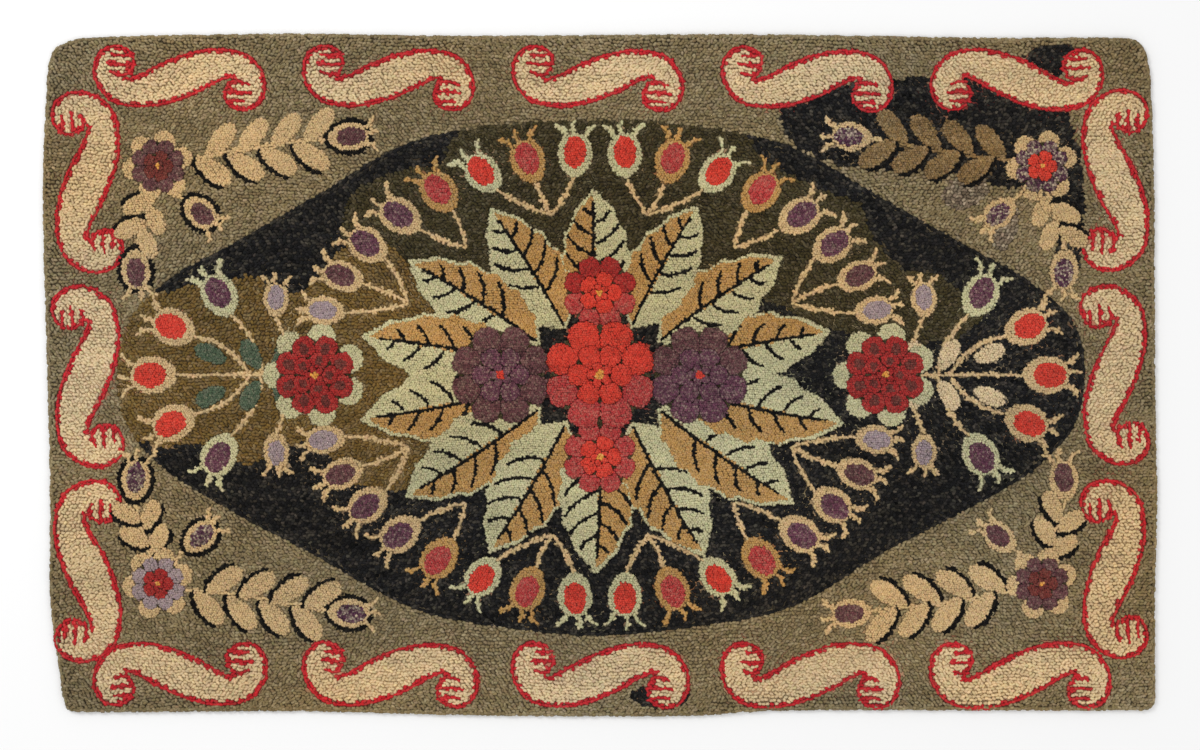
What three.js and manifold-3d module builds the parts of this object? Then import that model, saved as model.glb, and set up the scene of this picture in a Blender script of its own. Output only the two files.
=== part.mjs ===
// Hooked rug: a cloth foundation filled with wool pile, lying flat, as one solid.
// Millimetres, +Z up. The underside lies at z = 0, with the origin under the middle of the rug and +X along its length.
// The plain ground is a slab with the rug's uneven outline. The sculpted flowers, and the leaves and buds of
// thicker pile, stand above it. The scrolls of the border are a change of colour alone, so they aren't raised.

import * as THREE from 'three';
import { mergeVertices } from 'three/addons/utils/BufferGeometryUtils.js';
import Module from 'manifold-3d';

// Driving dimensions of the slab
const RUG_LENGTH = 1550;
const RUG_WIDTH = 950;
const GROUND_HEIGHT = 8;
const RIM_ROUNDING = 2.5;
const RIM_STEPS = 84;

// The rim as it lies, walked anticlockwise from the upper left corner. It bows and its corners differ.
const RIM = [
  { x: -728, y: 467 }, { x: -757, y: 459 }, { x: -771, y: 434 }, { x: -778, y: 258 },
  { x: -772, y: 0 }, { x: -768, y: -180 }, { x: -768, y: -312 }, { x: -761, y: -372 },
  { x: -750, y: -446 }, { x: -738, y: -468 }, { x: -420, y: -469 }, { x: -170, y: -475 },
  { x: 140, y: -475 }, { x: 230, y: -469 }, { x: 560, y: -468 }, { x: 757, y: -466 },
  { x: 772, y: -454 }, { x: 775, y: -312 }, { x: 778, y: -173 }, { x: 775, y: 0 },
  { x: 774, y: 244 }, { x: 770, y: 388 }, { x: 764, y: 448 }, { x: 748, y: 466 },
  { x: 560, y: 469 }, { x: 210, y: 474 }, { x: -210, y: 472 }, { x: -420, y: 475 },
  { x: -585, y: 473 },
];

// Sculpted flowers: where each stands, its radius, how far its crown rises over the ground, and its petals
const FLOWERS = [
  { x: 0, y: 0, radius: 78, rise: 9, outer: 8, inner: 6 },
  { x: -138, y: 0, radius: 70, rise: 8, outer: 8, inner: 6 },
  { x: 138, y: 0, radius: 70, rise: 8, outer: 8, inner: 6 },
  { x: 0, y: 114, radius: 52, rise: 7, outer: 8, inner: 5 },
  { x: 0, y: -114, radius: 52, rise: 7, outer: 8, inner: 5 },
  { x: -396, y: 0, radius: 56, rise: 6, outer: 8, inner: 0 },
  { x: 396, y: 0, radius: 56, rise: 6, outer: 8, inner: 0 },
  { x: -614, y: 290, radius: 38, rise: 4, outer: 6, inner: 0 },
  { x: 614, y: 290, radius: 38, rise: 4, outer: 6, inner: 0 },
  { x: -614, y: -290, radius: 38, rise: 4, outer: 6, inner: 0 },
  { x: 614, y: -290, radius: 38, rise: 4, outer: 6, inner: 0 },
];

// The wreath of toothed leaves round the middle: roots and tips lie on two ellipses
const WREATH = {
  leaves: 14, rootX: 104, rootY: 72, tipX: 340, tipY: 268, width: 108, teeth: 5, toothDepth: 0.13, rise: 2,
};

// The ring of buds round the wreath. The buds lie on one ellipse and the feet of their stems on a smaller one, and
// each bud leans out from a point part of the way to its foot. Angles are in degrees round the ellipses.
const BUD_RING = { x: 398, y: 306, footX: 296, footY: 228, lean: 0.6 };
const RING_BUDS = [
  { turn: 85, foot: 77, length: 62, width: 43 },
  { turn: 75.5, foot: 77, length: 62, width: 43 },
  { turn: 66, foot: 77, length: 60, width: 42 },
  { turn: 56, foot: 51, length: 62, width: 44 },
  { turn: 46, foot: 51, length: 62, width: 43 },
  { turn: 36, foot: 26, length: 60, width: 42 },
  { turn: 26.5, foot: 26, length: 58, width: 38 },
  { turn: 17, foot: 26, length: 54, width: 36 },
];

// Other buds of one quarter, repeated in the other three: place, heading in degrees, length and width of the hull
const QUARTER_BUDS = [
  { x: 592, y: 66, heading: 24, length: 62, width: 46 },
  { x: 528, y: 110, heading: 60, length: 62, width: 44 },
  { x: 450, y: 104, heading: 92, length: 48, width: 32 },
  { x: 350, y: 331, heading: 174, length: 56, width: 36 },
  { x: 655, y: 147, heading: 264, length: 56, width: 36 },
  { x: 556, y: 226, heading: 222, length: 52, width: 34 },
];
const AXIS_BUDS = [
  { x: 620, y: 0, heading: 0, length: 64, width: 48 },
  { x: -620, y: 0, heading: 180, length: 64, width: 48 },
];
const BUD_RISE = 2;

// Leafy arms of one corner spray, repeated in the other three: the stem's ends, and its pairs of leaves
const QUARTER_ARMS = [
  { fromX: 576, fromY: 298, toX: 394, toY: 326, pairs: 4, leafLength: 60, leafWidth: 28 },
  { fromX: 626, fromY: 258, toX: 650, toY: 192, pairs: 2, leafLength: 46, leafWidth: 25 },
];
const ARM_LEAF_SPREAD = 40;
const ARM_LEAF_RISE = 1.5;
const QUARTERS = [{ x: 1, y: 1 }, { x: -1, y: 1 }, { x: -1, y: -1 }, { x: 1, y: -1 }];

// How deep every raised form reaches into the slab, so that it is one body with it
const ROOT_DEPTH = 2;
const HUMP_PROFILE = [{ out: 0, up: 0 }, { out: 1, up: 0 }, { out: 0.74, up: 0.68 }, { out: 0, up: 1 }];

const wasm = await Module();
wasm.setup();
const radians = THREE.MathUtils.degToRad;

function toSolid(geometry) {
  geometry.deleteAttribute('normal');
  geometry.deleteAttribute('uv');
  const merged = mergeVertices(geometry, 1e-4);
  return new wasm.Manifold(new wasm.Mesh({
    numProp: 3,
    vertProperties: new Float32Array(merged.attributes.position.array),
    triVerts: new Uint32Array(merged.index.array),
  }));
}

function toGeometry(solid) {
  const mesh = solid.getMesh();
  const geometry = new THREE.BufferGeometry();
  geometry.setAttribute('position', new THREE.BufferAttribute(mesh.vertProperties, 3));
  geometry.setIndex(new THREE.BufferAttribute(mesh.triVerts, 1));
  geometry.computeVertexNormals();
  return geometry;
}

// The rim's smooth outline, fitted to the rug's full length and width and centred on the origin
function rimOutline() {
  const curve = new THREE.CatmullRomCurve3(RIM.map(({ x, y }) => new THREE.Vector3(x, y, 0)), true, 'centripetal');
  const points = curve.getPoints(RIM_STEPS).slice(0, -1);
  const box = new THREE.Box3().setFromPoints(points);
  const size = box.getSize(new THREE.Vector3());
  const middle = box.getCenter(new THREE.Vector3());
  return points.map((point) => new THREE.Vector2(
    (point.x - middle.x) * (RUG_LENGTH - 2 * RIM_ROUNDING) / size.x,
    (point.y - middle.y) * (RUG_WIDTH - 2 * RIM_ROUNDING) / size.y,
  ));
}

function groundSlab() {
  const slab = new THREE.ExtrudeGeometry(new THREE.Shape(rimOutline()), {
    depth: GROUND_HEIGHT - 2 * RIM_ROUNDING,
    bevelEnabled: true,
    bevelThickness: RIM_ROUNDING,
    bevelSize: RIM_ROUNDING,
    bevelSegments: 2,
  });
  slab.translate(0, 0, RIM_ROUNDING);
  return slab;
}

// A low rounded hump of pile, longer along its heading, with a flat foot inside the slab.
// HUMP_PROFILE runs from the middle of the foot, out and up to the crest: share of the radius, share of the height.
function hump({ x, y, heading = 0, length, width, rise, around = 7 }) {
  const profile = HUMP_PROFILE.map(({ out, up }) => new THREE.Vector2(out, up));
  const geometry = new THREE.LatheGeometry(profile, around);
  geometry.rotateX(Math.PI / 2);
  geometry.scale(length / 2, width / 2, rise + ROOT_DEPTH);
  geometry.rotateZ(radians(heading));
  geometry.translate(x, y, GROUND_HEIGHT - ROOT_DEPTH);
  return geometry;
}

// A flower: a ring of rounded petals, a smaller and higher ring inside it, and a crown in the middle
function flower({ x, y, radius, rise, outer, inner }) {
  const rings = [
    { petals: outer, reach: 0.66, size: 0.7, height: inner ? 0.55 : 0.75 },
    { petals: inner, reach: 0.34, size: 0.5, height: 0.82 },
    { petals: 1, reach: 0, size: 0.4, height: 1 },
  ];
  return rings.flatMap(({ petals, reach, size, height }) => Array.from({ length: petals }, (_, i) => {
    const turn = 360 * (i + 0.5) / petals;
    return hump({
      x: x + radius * reach * Math.cos(radians(turn)),
      y: y + radius * reach * Math.sin(radians(turn)),
      heading: turn,
      length: radius * size,
      width: radius * size * 0.86,
      rise: rise * height,
      around: 6,
    });
  }));
}

// One toothed leaf of the wreath, from its root to its tip, drawn along +X and then turned into place
function wreathLeaf(index) {
  const turn = radians(360 * (index + 0.5) / WREATH.leaves);
  const root = new THREE.Vector2(WREATH.rootX * Math.cos(turn), WREATH.rootY * Math.sin(turn));
  const tip = new THREE.Vector2(WREATH.tipX * Math.cos(turn), WREATH.tipY * Math.sin(turn));
  const length = root.distanceTo(tip);
  const halfWidth = (share) => WREATH.width / 2 * Math.sin(Math.PI * share ** 0.85) ** 0.75;
  const edge = [];
  for (let tooth = 0; tooth < WREATH.teeth; tooth += 1) {
    const crest = (tooth + 0.75) / (WREATH.teeth + 0.6);
    const notch = (tooth + 1) / (WREATH.teeth + 0.6);
    edge.push([length * crest, halfWidth(crest)]);
    edge.push([length * notch, halfWidth(notch) * (1 - WREATH.toothDepth)]);
  }
  const outline = [[0, 0], ...edge.map(([along, out]) => [along, -out]), [length, 0],
    ...edge.reverse().map(([along, out]) => [along, out])];
  const leaf = new THREE.ExtrudeGeometry(new THREE.Shape(outline.map((point) => new THREE.Vector2(...point))), {
    depth: ROOT_DEPTH + WREATH.rise,
    bevelEnabled: false,
  });
  leaf.rotateZ(Math.atan2(tip.y - root.y, tip.x - root.x));
  leaf.translate(root.x, root.y, GROUND_HEIGHT - ROOT_DEPTH);
  return leaf;
}

// The leaves of one arm of a corner spray, set by turns on either side of its stem
function armLeaves({ fromX, fromY, toX, toY, pairs, leafLength, leafWidth }, side) {
  const heading = THREE.MathUtils.radToDeg(Math.atan2((toY - fromY) * side.y, (toX - fromX) * side.x));
  return Array.from({ length: 2 * pairs }, (_, i) => {
    const share = (Math.floor(i / 2) + 0.3 + 0.35 * (i % 2)) / pairs;
    const turn = heading + (i % 2 ? ARM_LEAF_SPREAD : -ARM_LEAF_SPREAD);
    return hump({
      x: side.x * (fromX + (toX - fromX) * share) + leafLength / 2 * Math.cos(radians(turn)),
      y: side.y * (fromY + (toY - fromY) * share) + leafLength / 2 * Math.sin(radians(turn)),
      heading: turn,
      length: leafLength,
      width: leafWidth,
      rise: ARM_LEAF_RISE,
      around: 6,
    });
  });
}

function ringBud({ turn, foot, length, width }) {
  const x = BUD_RING.x * Math.cos(radians(turn));
  const y = BUD_RING.y * Math.sin(radians(turn));
  const leanX = x - BUD_RING.lean * BUD_RING.footX * Math.cos(radians(foot));
  const leanY = y - BUD_RING.lean * BUD_RING.footY * Math.sin(radians(foot));
  return { x, y, heading: THREE.MathUtils.radToDeg(Math.atan2(leanY, leanX)), length, width };
}

function quarterBud(bud, side) {
  const heading = radians(bud.heading);
  return hump({
    ...bud,
    x: bud.x * side.x,
    y: bud.y * side.y,
    heading: THREE.MathUtils.radToDeg(Math.atan2(Math.sin(heading) * side.y, Math.cos(heading) * side.x)),
    rise: BUD_RISE,
  });
}

const raised = [
  ...FLOWERS.flatMap(flower),
  ...Array.from({ length: WREATH.leaves }, (_, i) => wreathLeaf(i)),
  ...AXIS_BUDS.map((bud) => hump({ ...bud, rise: BUD_RISE })),
  ...QUARTERS.flatMap((side) => [...RING_BUDS.map(ringBud), ...QUARTER_BUDS].map((bud) => quarterBud(bud, side))),
  ...QUARTERS.flatMap((side) => QUARTER_ARMS.flatMap((arm) => armLeaves(arm, side))),
];
const rugSolid = raised.map(toSolid).reduce((whole, form) => whole.add(form), toSolid(groundSlab()));

const oliveWool = new THREE.MeshStandardMaterial({ color: 0x716750, roughness: 0.95, metalness: 0 });
const rug = new THREE.Mesh(toGeometry(rugSolid), oliveWool);
rug.name = 'hooked_rug';

const part = new THREE.Group();
part.add(rug);

export default part;
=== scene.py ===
"""Hooked rug: wool hooked through a cloth foundation, lying flat, in metres with +Z up out of the pile.

The worked design is drawn first, in millimetres from the middle of the rug, as patches and rows of yarn. It is then
hooked: tufts are set along every row, and the patches are filled between the rows. Each kind of pile is one piece,
made of copies of one modelled tuft, and stands on the cloth that it was hooked through.
"""

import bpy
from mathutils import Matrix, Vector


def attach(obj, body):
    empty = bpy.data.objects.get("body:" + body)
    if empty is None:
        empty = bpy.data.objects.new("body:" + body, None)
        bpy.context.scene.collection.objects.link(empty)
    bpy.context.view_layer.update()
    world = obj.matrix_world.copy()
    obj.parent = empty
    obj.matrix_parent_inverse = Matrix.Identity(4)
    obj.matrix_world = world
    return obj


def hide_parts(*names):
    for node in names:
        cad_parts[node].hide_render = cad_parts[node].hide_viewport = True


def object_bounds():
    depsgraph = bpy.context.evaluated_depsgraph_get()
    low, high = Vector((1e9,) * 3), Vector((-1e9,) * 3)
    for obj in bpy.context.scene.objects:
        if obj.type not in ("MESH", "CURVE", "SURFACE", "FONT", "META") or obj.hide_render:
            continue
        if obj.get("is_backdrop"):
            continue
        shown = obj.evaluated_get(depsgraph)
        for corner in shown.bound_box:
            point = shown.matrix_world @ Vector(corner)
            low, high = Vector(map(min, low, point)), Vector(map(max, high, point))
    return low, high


bl_info = {
    "name": "Hooked Rug",
    "version": (1, 0, 0),
    "blender": (4, 5, 0),
    "location": "View3D > Sidebar > Hooked Rug",
    "description": "Builds a hooked wool rug tuft by tuft, with its foundation cloth and a studio stage",
    "category": "Object",
}

from collections import namedtuple
from functools import lru_cache
from math import atan2, cos, degrees, hypot, pi, radians, sin

import bmesh
import bpy
import numpy as np
from bpy.props import FloatProperty, FloatVectorProperty, PointerProperty
from bpy.types import Operator, Panel, PropertyGroup
from mathutils import Matrix, Vector

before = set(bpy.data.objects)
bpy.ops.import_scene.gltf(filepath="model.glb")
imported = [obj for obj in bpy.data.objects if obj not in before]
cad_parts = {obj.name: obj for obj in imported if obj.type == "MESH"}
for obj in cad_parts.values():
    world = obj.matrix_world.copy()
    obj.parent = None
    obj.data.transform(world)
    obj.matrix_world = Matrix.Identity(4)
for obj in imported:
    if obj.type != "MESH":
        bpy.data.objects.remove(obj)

BODY = "root"
RUG_NODE = "hooked_rug"
BAKE_MAP = "OFBake"
MM = 0.001
CAD_LOW, CAD_HIGH = (tuple(corner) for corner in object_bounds())
RUG_SIZE = np.array([CAD_HIGH[0] - CAD_LOW[0], CAD_HIGH[1] - CAD_LOW[1]]) / MM


# Sizes and colours that a user would change

def length(name, description, millimetres):
    return FloatProperty(name=name, description=description, default=millimetres * MM, min=0, unit="LENGTH",
                         precision=4)


def linear(colour):
    """Linear light from a colour given in the usual 0 to 255."""
    share = np.asarray(colour, float) / 255
    return np.where(share <= 0.04045, share / 12.92, ((share + 0.055) / 1.055) ** 2.4)


def dye(name, description, red, green, blue):
    return FloatVectorProperty(name=name, description=description, subtype="COLOR", size=3, min=0, max=1,
                               default=tuple(linear((red, green, blue))))


class RugSizes(PropertyGroup):
    ground_height: length("Ground height", "Height of the plain pile over the floor", 8)
    loop_length: length("Loop length", "Length of a wool loop along its row", 5.1)
    loop_spacing: length("Loop spacing", "Distance from one row of loops to the next", 4.1)
    tuft_length: length("Tuft length", "Distance from one clipped tuft to the next in its row", 3.1)
    tuft_spacing: length("Tuft spacing", "Distance from one row of clipped tufts to the next", 2.8)
    unevenness: length("Unevenness", "How far a loop stands above or below its neighbours", 0.4)
    hem_width: length("Hem width", "Cloth turned under along the edge", 25)
    cloth_thickness: length("Cloth thickness", "Thickness of the foundation cloth", 0.8)


class WoolDyes(PropertyGroup):
    olive: dye("Olive", "Plain ground round the border and in the corners", 132, 115, 81)
    black: dye("Black", "Long dark lozenge", 29, 28, 28)
    umber: dye("Umber", "Lozenge at its left end, worked with other wool", 113, 88, 44)
    moss: dye("Moss", "Lozenge behind the upper buds, and between petals", 64, 56, 33)
    cream: dye("Cream", "Scrolls of the border", 219, 192, 148)
    madder: dye("Madder", "Outline and comb strokes of the scrolls", 190, 41, 47)
    scarlet: dye("Scarlet", "Middle rose and bright buds", 210, 65, 50)
    crimson: dye("Crimson", "Upper rose and side roses", 163, 46, 43)
    rose: dye("Rose", "Lower rose and some buds", 178, 62, 60)
    plum: dye("Plum", "Outer petals of the dark roses", 99, 62, 64)
    violet: dye("Violet", "Inner petals of the dark roses, and dark buds", 100, 60, 73)
    lilac: dye("Lilac", "Palest buds", 159, 139, 140)
    sage: dye("Sage", "Pale side of the wreath's leaves, and pale hulls", 196, 188, 144)
    ochre: dye("Ochre", "Warm side of the wreath's leaves, and warm hulls", 185, 141, 80)
    tan: dye("Tan", "Stems, hulls and the leaves of the corner sprays", 205, 173, 124)
    teal: dye("Teal", "A few leaves of the left side spray", 78, 93, 71)
    thistle: dye("Thistle", "Flecked hearts of some corner buds", 84, 50, 66)
    faded: dye("Faded olive", "Two worn spots in the upper right ground", 118, 102, 84)
    wine: dye("Wine", "Middles of the side roses' petals", 112, 52, 46)
    fawn: dye("Fawn", "Leaves of the upper right spray", 136, 108, 68)
    gold: dye("Gold", "Hearts of the roses", 216, 150, 66)
    ink: dye("Ink", "Veins and shadows of the leaves", 16, 14, 13)
    cloth: dye("Cloth", "Burlap of the foundation", 168, 140, 100)


# How mixed each wool is: the share of its tufts that are flecks, how pale a fleck is, and how far tufts
# differ
Heather = namedtuple("Heather", "share lift spread")
PLAIN_HEATHER = Heather(0.28, 0.14, 0.08)
HEATHER = {
    "olive": Heather(0.3, 0.2, 0.12),
    "black": Heather(0.1, 0.07, 0.26),
    "moss": Heather(0.25, 0.07, 0.16),
    "umber": Heather(0.25, 0.1, 0.14),
    "violet": Heather(0.14, 0.2, 0.16),
    "plum": Heather(0.2, 0.14, 0.18),
    "scarlet": Heather(0.2, 0.05, 0.09),
    "crimson": Heather(0.2, 0.05, 0.12),
    "madder": Heather(0.15, 0.05, 0.1),
    "wine": Heather(0.2, 0.05, 0.14),
    "thistle": Heather(0.24, 0.62, 0.2),
    "faded": Heather(0.24, 0.42, 0.14),
    "fawn": Heather(0.25, 0.12, 0.16),
    "ink": Heather(0.2, 0.02, 0.12),
}
FLECK = (214, 196, 164)
HUE_SPREAD = 0.022


# The plan of the design: places in millimetres from the middle of the rug, headings in degrees from +X

Point = namedtuple("Point", "x y")
RIM = [Point(*row) for row in (
    (-700, 470), (-736, 466), (-760, 455), (-770, 432), (-773, 398), (-778, 258), (-772, 0), (-768, -180),
    (-768, -312), (-761, -372), (-753, -428), (-750, -452), (-741, -468), (-714, -470), (-420, -469),
    (-170, -475), (140, -475), (230, -469), (560, -468), (736, -468), (765, -467), (774, -458),
    (775, -430), (775, -312), (778, -173), (775, 0), (774, 244), (770, 388), (766, 432), (760, 455),
    (747, 466), (716, 469), (560, 469), (210, 474), (-210, 472), (-420, 475), (-585, 473),
)]

# Half of a scroll's outline, which turned half round gives the other half, and the strokes combed into
# its end
SCROLL_HALF = [Point(*row) for row in (
    (-126, 6), (-122, 30), (-106, 46), (-84, 47), (-67, 35), (-65, 16), (-76, -1), (-56, 6), (-26, 23),
    (14, 39), (56, 46), (98, 38), (119, 16),
)]
Stroke = namedtuple("Stroke", "x y to_x to_y bow")
SCROLL_COMB = [Stroke(-66, 35, -96, 34, 0.06), Stroke(-64, 20, -102, 21, 0.04), Stroke(-70, 6, -98, 9, 0.14)]
LOOP_STEPS, SCROLL_LINE, COMB_LINE = 6, 6.6, 6.4
SCROLL_STRETCH, STRETCH_SLIP = (0.985, 0.97), (0.03, 0.05)
SCROLL_SLIP, SCROLL_TURN_SLIP, COMB_SLIP = 3, 1.5, 5
Scroll = namedtuple("Scroll", "x y turn flip")
SCROLL_STEP, SIDE_STEP = 291, 271
SCROLLS = [
    *(Scroll(SCROLL_STEP * i, 410, 0, -1 if i == 2 else 1) for i in (-2, -1, 0, 1, 2)),
    *(Scroll(SCROLL_STEP * i, -415, 0, -1 if i == -2 else 1) for i in (-2, -1, 0, 1, 2)),
    *(Scroll(-715, SIDE_STEP * i, 90, 1 if i == -1 else -1) for i in (1, 0, -1)),
    *(Scroll(714, SIDE_STEP * i, 90, 1 if i == 1 else -1) for i in (1, 0, -1)),
]

LOZENGE = [Point(*row) for row in (
    (674, 0), (660, 70), (600, 128), (500, 184), (392, 246), (262, 318), (130, 347), (0, 354),
    (-130, 348), (-262, 324), (-400, 246), (-500, 188), (-600, 132), (-656, 74), (-672, 0), (-654, -78),
    (-598, -136), (-500, -196), (-394, -252), (-256, -326), (-126, -352), (0, -362), (130, -350),
    (262, -324), (396, -246), (500, -192), (602, -132), (660, -70),
)]
MOSS_PATCH = [Point(*row) for row in (
    (-353, 173), (-346, 249), (-291, 281), (-221, 297), (-205, 330), (-130, 358), (0, 364), (130, 356),
    (205, 336), (225, 302), (320, 252), (360, 238), (378, 196), (421, 149), (467, 140), (500, 118),
    (538, 90), (485, 48), (330, 60), (180, 120), (-180, 120),
)]
UMBER_PATCH = [Point(*row) for row in (
    (-352, 182), (-384, 150), (-413, 116), (-445, 116), (-480, 137), (-520, 132), (-600, 117), (-680, 90),
    (-690, -60), (-626, -96), (-550, -99), (-496, -126), (-453, -110), (-427, -97), (-384, -102),
    (-360, -140), (-310, -158), (-240, -150), (-220, -40), (-220, 60), (-260, 150), (-310, 190),
)]
CORNER_PATCH = [Point(*row) for row in (
    (262, 330), (252, 372), (300, 392), (400, 412), (520, 414), (572, 436), (612, 455), (650, 458),
    (676, 452), (652, 438), (640, 414), (640, 384), (652, 356), (668, 300), (672, 200), (656, 128),
    (632, 150), (640, 226), (600, 256), (560, 262), (470, 284), (380, 286), (310, 300),
)]

# The wreath of toothed leaves, rooted on one ellipse with their tips on another
Wreath = namedtuple("Wreath", "leaves root tip width teeth depth rise dome veins")
WREATH = Wreath(14, (104, 72), (340, 268), 108, 5, 0.13, 2.0, 0.8, 4)
LeafSlip = namedtuple("LeafSlip", "turn reach width vein")
LEAF_SLIP = LeafSlip(1.6, 0.035, 0.06, 0.1)
LEAF_BELLY, LEAF_BLUNTNESS = 0.85, 0.75
FIRST_CREST, LAST_NOTCH = 0.75, 0.6

# A wreath leaf's warm half inside the pale whole, and its midrib and veins in shares of its length
WARM_ROOT, WARM_SHARE, WARM_MARGIN, WARM_TIP = 6, 0.98, 2.5, 0.96
MIDRIB_TIP, MIDRIB_BOW = 0.9, 0.02
VEIN_START, VEIN_STEP, VEIN_STAGGER, VEIN_LAST = 0.32, 0.15, 0.03, 0.97
VEIN_REACH, VEIN_SLOPE, VEIN_BOW = 0.72, 0.8, 0.1

# Rings of a rose's petals, in shares of its radius, of a petal's turn and of its rise
Ring = namedtuple("Ring", "reach length turn base dome")
OUTER_RING = Ring(0.69, 0.62, 0.5, 0.2, 0.5)
INNER_RING = Ring(0.36, 0.42, 0, 0.44, 0.42)
CROWN_RING = Ring(0.13, 0.22, 0.5, 0.7, 0.3)
CROWN_PETALS, PETAL_FULL, PETAL_POINT, PETAL_LAP = 5, 1.3, -0.18, 1.02
BED_REACH, BED_RISE = 0.3, 0.6
EYE_LENGTH, EYE_WIDTH, EYE_STEPS, HEART_SIZE, HEART_STEPS = 0.5, 0.46, 10, 0.17, 8
Rose = namedtuple("Rose", "x y radius rise outer inner dye inner_dye heart eyes lower_dye")
SIDE_ROSE_X = 396
ROSES = [
    Rose(0, 114, 52, 7, 8, 5, "crimson", "scarlet", "gold", None, "rose"),
    Rose(0, -114, 52, 7, 8, 5, "rose", "scarlet", "gold", None, "rose"),
    Rose(-138, 0, 70, 8, 8, 6, "plum", "violet", "scarlet", None, "plum"),
    Rose(138, 0, 70, 8, 8, 6, "plum", "violet", "scarlet", None, "violet"),
    Rose(0, 0, 78, 9, 8, 6, "scarlet", "scarlet", "gold", None, "rose"),
    Rose(-SIDE_ROSE_X, 0, 56, 6, 8, 5, "crimson", "crimson", "gold", "wine", "crimson"),
    Rose(SIDE_ROSE_X, 0, 56, 6, 8, 5, "crimson", "crimson", "gold", "wine", "crimson"),
]
CORNER_ROSE = Rose(614, 290, 38, 4, 8, 5, "plum", "wine", "gold", None, "plum")
CORNER_DYES = {
    (1, 1): ("thistle", "scarlet"),
    (-1, 1): ("plum", "wine"),
    (-1, -1): ("lilac", "crimson"),
    (1, -1): ("plum", "wine"),
}

Bud = namedtuple("Bud", "x y heading length width hull heart foot_x foot_y bow")
SIDE_BUDS = [
    Bud(592, 66, 24, 62, 46, "tan", "scarlet", 486, 0, 0.12),
    Bud(528, 110, 60, 62, 44, "sage", "violet", 470, 0, 0.1),
    Bud(450, 104, 92, 48, 32, "tan", "lilac", 436, 40, 0.05),
]
CORNER_BUDS = [
    Bud(350, 331, 174, 56, 36, "tan", "plum", 392, 326, 0),
    Bud(645, 147, 264, 56, 36, "tan", "plum", 642, 190, 0),
    Bud(556, 226, 222, 52, 34, "tan", "plum", 592, 266, 0.1),
]
AXIS_BUD = Bud(620, 0, 0, 64, 48, "tan", "scarlet", 440, 0, 0)

# The ring of buds: places and stem feet on two ellipses, by angle, with each bud leaning out past its foot
BUD_RING, FOOT_RING, BUD_LEAN, STEM_BOW = (398, 306), (296, 228), 0.6, 0.04
RingBud = namedtuple("RingBud", "turn foot length width hull heart")
RING_BUDS = [RingBud(*row) for row in (
    (85, 77, 62, 43, "sage", "scarlet"),
    (75.5, 77, 62, 43, "ochre", "rose"),
    (66, 77, 60, 42, "sage", "scarlet"),
    (56, 51, 62, 44, "ochre", "rose"),
    (46, 51, 62, 43, "tan", "violet"),
    (36, 26, 60, 42, "tan", "violet"),
    (26.5, 26, 58, 38, "tan", "plum"),
    (17, 26, 54, 36, "tan", "lilac"),
)]
Sepal = namedtuple("Sepal", "fan reach curl")
SEPALS = [Sepal(-44, 0.44, 0.2), Sepal(4, 0.34, 0.14), Sepal(46, 0.46, -0.2)]
SEPAL_ROOT, SEPAL_TURN = 0.45, 0.75
BUD_FULLNESS, HULL_POINT, STEM_END = 1.1, -0.14, 0.46
CORE_SHIFT, CORE_SIZE, CORE_POINT, CORE_STEPS = 0.08, 0.74, 0.05, 14
HULL_PILE, CORE_PILE = dict(rise=0.8, dome=1.2), dict(rise=1.2, dome=1.4)

# The leafy arms of a corner spray, its leaves set along them by turns
Arm = namedtuple("Arm", "x y to_x to_y pairs length width")
ARMS = [Arm(576, 298, 394, 326, 4, 59, 27), Arm(620, 258, 642, 192, 2, 45, 24)]
ARM_SPREAD, ARM_BOW, ARM_START, ARM_STAGGER = 42, 0.02, 0.3, 0.35

# Plain leaves: those of the side sprays, and those that show from under a rose
Leaf = namedtuple("Leaf", "x y heading")
SIDE_LEAVES = [Leaf(474, 8, 62), Leaf(452, 6, 118), Leaf(520, 20, 24)]
LeafSize = namedtuple("LeafSize", "length width")
SIDE_LEAF, CORNER_SEPAL, ROSE_SEPAL = LeafSize(46, 24), LeafSize(36, 30), LeafSize(46, 38)
CORNER_SEPAL_ROOT, ROSE_SEPAL_ROOT = 14, 26
CORNER_SEPALS = (20, 75, 130, 185, 250, 310)
ROSE_SEPALS = (25, 80, 130, 180, 230, 280, 335)
LEAF_PILE, LEAF_POINT = dict(rise=0.6, dome=1.0), -0.2
SHADOW_GAP, SHADOW_PART = 0.4, slice(2, 11)

# Spots where other wool was used
Spot = namedtuple("Spot", "x y heading length width")
FADED_SPOTS = [Spot(508, 254, 20, 66, 46), Spot(562, 208, 80, 70, 38)]
DARK_SPOT = Spot(84, -446, 0, 80, 36)
PATCH_WAVER, CORNER_WAVER = 3, 2
QUARTERS = ((1, 1), (-1, 1), (-1, -1), (1, -1))


# Lines and loops of the drawing

LINE_POINTS = 12


def smooth_loop(points, steps):
    """A closed centripetal Catmull-Rom curve through the points, with some steps between each two."""
    def gap(a, b):
        return np.sqrt(np.hypot(*(b - a).T))[:, None, None]

    p1 = np.asarray(points, float)
    p0, p2, p3 = np.roll(p1, 1, 0), np.roll(p1, -1, 0), np.roll(p1, -2, 0)
    t1 = gap(p0, p1)
    t2 = t1 + gap(p1, p2)
    t3 = t2 + gap(p2, p3)
    t = t1 + (t2 - t1) * (np.arange(steps) / steps)[None, :, None]
    p0, p1, p2, p3 = (p[:, None, :] for p in (p0, p1, p2, p3))
    a1 = (t1 - t) / t1 * p0 + t / t1 * p1
    a2 = ((t2 - t) * p1 + (t - t1) * p2) / (t2 - t1)
    a3 = ((t3 - t) * p2 + (t - t2) * p3) / (t3 - t2)
    b1 = ((t2 - t) * a1 + t * a2) / t2
    b2 = ((t3 - t) * a2 + (t - t1) * a3) / (t3 - t1)
    return (((t2 - t) * b1 + (t - t1) * b2) / (t2 - t1)).reshape(-1, 2)


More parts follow.
